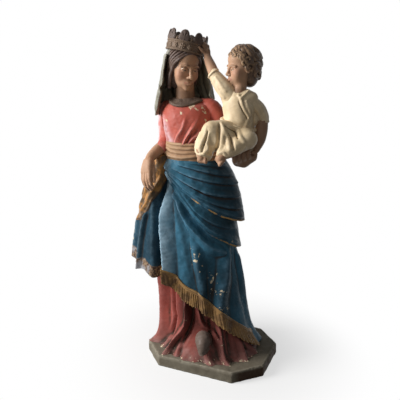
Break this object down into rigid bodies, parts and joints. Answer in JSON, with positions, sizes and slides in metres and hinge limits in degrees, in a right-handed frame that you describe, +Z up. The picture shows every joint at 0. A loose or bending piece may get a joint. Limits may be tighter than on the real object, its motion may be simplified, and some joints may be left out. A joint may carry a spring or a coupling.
{
  "type": "madonna statue",
  "caption": "Painted plaster figure of a crowned, veiled mother in a draped mantle carrying a child on one arm, standing on an eight-sided plinth.",
  "frame": {"origin": "centre of the plinth's underside", "axes": "+Z up, -Y is the plinth's front, +X to the viewer's right, the side on which the child sits"},
  "size_m": [0.444, 0.2941, 0.9491],
  "materials": {
    "plinth_paint": "worn olive grey paint on plaster",
    "gown_red": "aged coral red paint, satin, chipped to the plaster",
    "shoe_brown": "grey brown paint, satin",
    "mantle_blue": "aged deep blue paint, satin, chipped to the plaster",
    "fringe_gilt": "dull gold paint over modelled threads",
    "sash_tan": "tan paint, satin",
    "neckline_paint": "grey brown paint with a stippled pattern",
    "flesh": "aged flesh paint, satin",
    "hair_brown": "brown paint, satin",
    "veil_grey": "grey olive paint, satin",
    "crown_paint": "grey brown paint with worn gilding",
    "crown_gilt": "worn gilding on plaster",
    "child_cream": "aged ivory paint, satin",
    "iron": "bare wrought iron bar",
    "inner_wood": "plain sawn softwood"
  },
  "bodies": {
    "root": {"plinth": "plinth_paint", "gown_skirt": "gown_red", "shoe_tip": "shoe_brown", "mantle_skirt": "mantle_blue", "hem_fringe": "fringe_gilt", "mantle_swag_lower": "mantle_blue", "mantle_swag_upper": "mantle_blue", "mantle_fall": "mantle_blue", "belt_sash": "sash_tan", "bodice": "gown_red", "neckline_band": "neckline_paint", "head_and_neck": "flesh", "hair": "hair_brown", "veil": "veil_grey", "crown_band": "crown_paint", "crown_leaves": "crown_paint", "crown_bosses": "crown_gilt", "right_sleeve": "gown_red", "right_hand": "flesh", "left_sleeve": "gown_red", "left_hand": "flesh", "child_lap": "child_cream", "child_trunk": "child_cream", "child_waist_cord": "child_cream", "child_head": "flesh", "child_curls": "hair_brown", "child_raised_sleeve": "child_cream", "child_raised_arm": "flesh", "child_lower_sleeve": "child_cream", "child_lower_arm": "flesh", "child_right_foot": "flesh", "child_left_foot": "flesh", "armature_post": "iron", "centring_discs": "inner_wood", "child_rod": "iron", "head_dowel": "inner_wood", "child_head_dowel": "inner_wood", "right_hand_dowel": "inner_wood", "left_hand_dowel": "inner_wood"}
  },
  "joints": []
}
